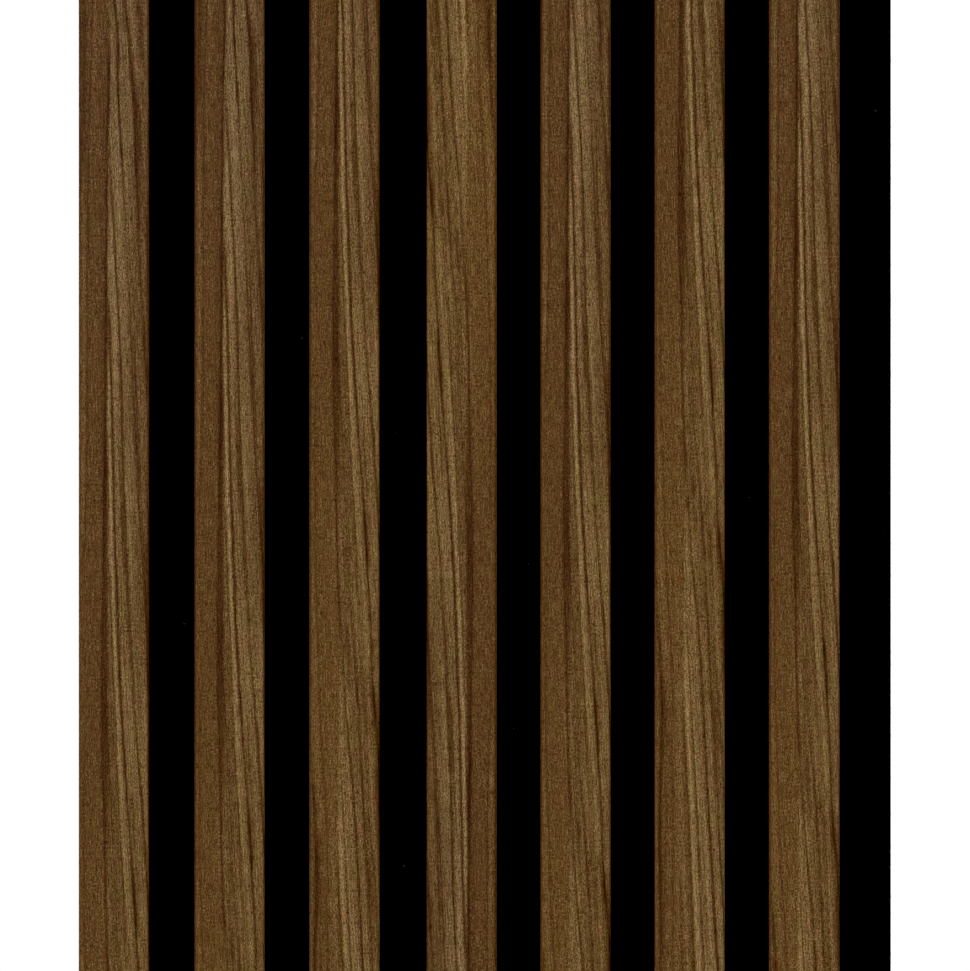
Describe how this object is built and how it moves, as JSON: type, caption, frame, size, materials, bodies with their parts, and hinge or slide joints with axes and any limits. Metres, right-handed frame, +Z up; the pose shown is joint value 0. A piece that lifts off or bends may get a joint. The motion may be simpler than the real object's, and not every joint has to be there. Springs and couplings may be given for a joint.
{
  "type": "acoustic slat wall panel",
  "caption": "Rectangular wall panel of parallel walnut-wrapped slats stapled to a black felt board, with open grooves that let sound reach the felt.",
  "frame": {"origin": "centre of the flat back face, which lies against the wall", "axes": "+X to the right as seen from the front, +Y out of the back face into the wall, +Z up along the slats; the slats face -Y"},
  "size_m": [0.3, 0.021, 0.6],
  "materials": {
    "walnut_wrap": "matt walnut, grain along the slats",
    "slat_fibreboard": "raw sawn fibreboard",
    "black_felt": "needled polyester felt",
    "staple_wire": "galvanised wire"
  },
  "bodies": {
    "root": {"walnut_wrap_1": "walnut_wrap", "walnut_wrap_2": "walnut_wrap", "walnut_wrap_3": "walnut_wrap", "walnut_wrap_4": "walnut_wrap", "walnut_wrap_5": "walnut_wrap", "walnut_wrap_6": "walnut_wrap", "walnut_wrap_7": "walnut_wrap", "slat_core_1": "slat_fibreboard", "slat_core_2": "slat_fibreboard", "slat_core_3": "slat_fibreboard", "slat_core_4": "slat_fibreboard", "slat_core_5": "slat_fibreboard", "slat_core_6": "slat_fibreboard", "slat_core_7": "slat_fibreboard", "felt_board": "black_felt", "staples": "staple_wire"}
  },
  "joints": []
}
